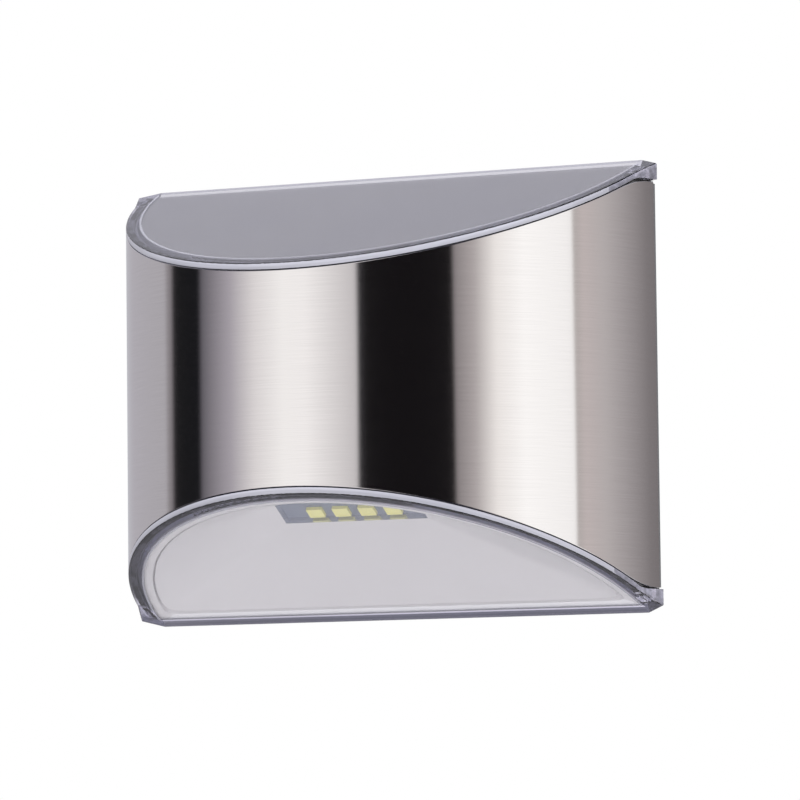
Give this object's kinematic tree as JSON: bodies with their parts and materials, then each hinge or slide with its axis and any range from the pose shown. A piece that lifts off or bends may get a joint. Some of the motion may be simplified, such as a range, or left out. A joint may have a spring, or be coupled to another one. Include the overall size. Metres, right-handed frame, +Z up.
{
  "type": "solar wall light",
  "caption": "Half-round solar wall light: brushed steel band between a slanted clear top over a solar panel and a slanted clear lens over a white reflector.",
  "frame": {"origin": "middle of the wall bracket's wall face, between its two screw holes", "axes": "+Y into the wall, +Z up, +X to the right as seen from the room"},
  "size_m": [0.1224, 0.0575, 0.0956],
  "materials": {
    "zinc_plated_steel": "zinc plated",
    "grey_abs": "fine spark texture",
    "brushed_stainless": "hairline brushed round the band",
    "clear_plastic": "clear moulded plastic",
    "black_rubber": "matte",
    "panel_glass": "even grey laminated solar panel",
    "white_gloss": "white moulded reflector",
    "board_laminate": "pale solder mask",
    "battery_sleeve": "plain green sleeve",
    "nickel_plate": "nickel plated",
    "black_plastic": "matte",
    "green_laminate": "green solder mask",
    "ferrite": "sintered",
    "capacitor_sleeve": "sleeved can",
    "led_yellow": "phosphor under clear resin",
    "red_insulation": "flexible insulation",
    "black_insulation": "flexible insulation"
  },
  "bodies": {
    "bracket": {"wall_bracket": "zinc_plated_steel"},
    "light": {"back_plate": "grey_abs", "back_screws": "zinc_plated_steel", "steel_cover": "brushed_stainless", "housing": "grey_abs", "top_cover": "clear_plastic", "bottom_lens": "clear_plastic", "top_seal": "black_rubber", "lens_seal": "black_rubber", "solar_panel": "panel_glass", "reflector": "white_gloss", "led_board": "board_laminate", "led_screws": "zinc_plated_steel", "door_seal": "black_rubber", "battery": "battery_sleeve", "battery_spring": "nickel_plate", "battery_contact": "nickel_plate", "switch_body": "black_plastic", "control_board": "green_laminate", "control_screws": "zinc_plated_steel", "charge_chip": "black_plastic", "boost_coil": "ferrite", "capacitor": "capacitor_sleeve", "led_1": "led_yellow", "led_2": "led_yellow", "led_3": "led_yellow", "led_4": "led_yellow", "panel_lead_red": "red_insulation", "panel_lead_black": "black_insulation", "led_lead_red": "red_insulation", "led_lead_black": "black_insulation", "battery_lead_red": "red_insulation", "battery_lead_black": "black_insulation", "switch_lead_in": "red_insulation", "switch_lead_out": "red_insulation"},
    "door": {"battery_door": "grey_abs"},
    "knob": {"switch_knob": "black_plastic"}
  },
  "joints": [
    {"name": "lift_off", "type": "slide", "parent": "bracket", "child": "light", "axis": [0, 0, 1], "range_m": [0, 0.0065]},
    {"name": "door_hinge", "type": "hinge", "parent": "light", "child": "door", "pos_m": [0, -0.0014, -0.04205], "axis": [-1, 0, 0], "range_deg": [0, 95]},
    {"name": "knob_slide", "type": "slide", "parent": "light", "child": "knob", "axis": [1, 0, 0], "range_m": [0, 0.003]}
  ]
}
